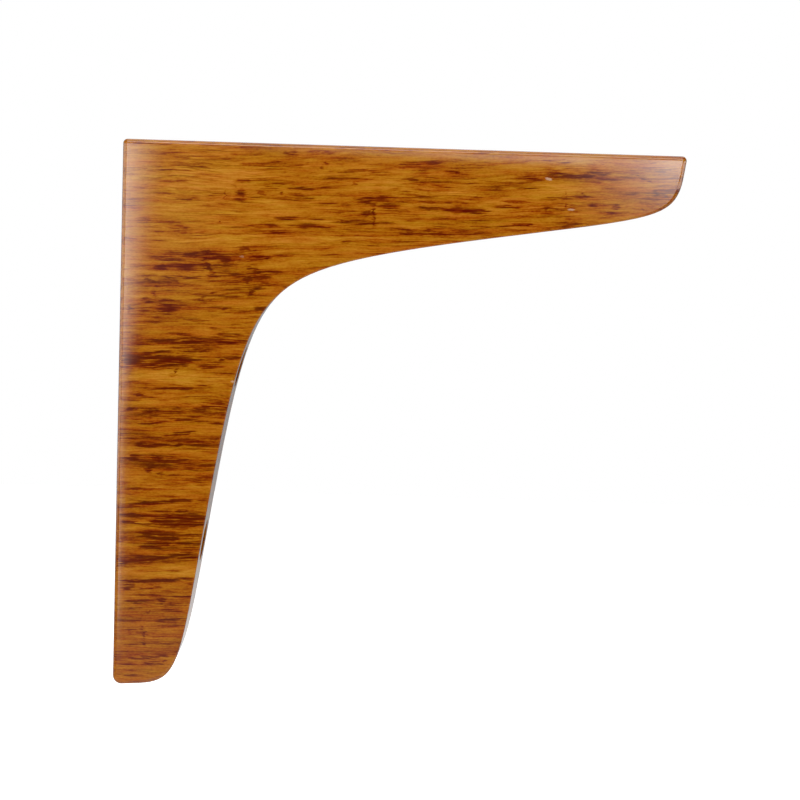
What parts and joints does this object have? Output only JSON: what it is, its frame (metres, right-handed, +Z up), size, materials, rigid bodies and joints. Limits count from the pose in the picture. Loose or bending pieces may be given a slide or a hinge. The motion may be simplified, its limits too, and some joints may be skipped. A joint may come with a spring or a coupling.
{
  "type": "gallows shelf bracket",
  "caption": "Flat L-shaped wooden shelf bracket with tapered arms, rounded tips, a swept inner curve and counterbored screw holes; carries a shelf on a wall.",
  "frame": {"origin": "on the wall plane, at the middle of the board's thickness, midway between the two wall screws", "axes": "+X out from the wall along the shelf arm, +Y through the board's thickness, +Z up to the shelf"},
  "size_m": [0.1997, 0.026, 0.1962],
  "materials": {
    "lacquered_wood": "clear gloss lacquer over streaked honey-brown wood"
  },
  "bodies": {
    "root": {"bracket": "lacquered_wood"}
  },
  "joints": []
}
